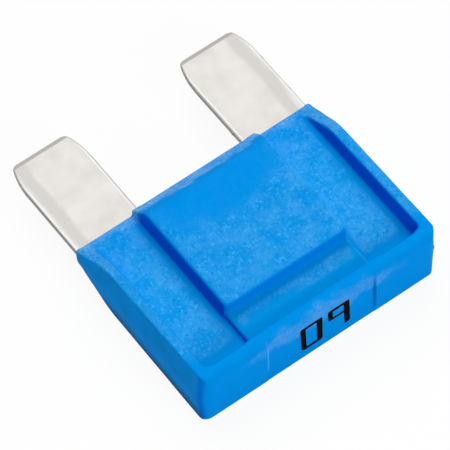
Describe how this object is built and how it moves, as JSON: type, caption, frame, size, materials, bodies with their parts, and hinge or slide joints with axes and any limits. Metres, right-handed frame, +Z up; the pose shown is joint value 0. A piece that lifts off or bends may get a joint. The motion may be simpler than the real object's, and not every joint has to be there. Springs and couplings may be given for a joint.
{
  "type": "automotive blade fuse",
  "caption": "Large automotive blade fuse with a flat moulded body, sunk side panels, a raised middle block and flat plug-in blades joined inside by a melting link.",
  "frame": {"origin": "under the middle of the part's box, on the surface it lies on", "axes": "+Y along the blades from the head to the tips, +Z up through the thickness, out of the front face, X across the body's width"},
  "size_m": [0.0292, 0.0342, 0.0085],
  "materials": {
    "body_plastic": "blue moulded polyamide with a fine spark-eroded grain",
    "element_metal": "satin tin plating on stamped zinc strip",
    "pill_tin": "plain cast tin"
  },
  "bodies": {
    "root": {"shell_front": "body_plastic", "shell_back": "body_plastic", "fuse_element": "element_metal", "delay_pill": "pill_tin"}
  },
  "joints": []
}
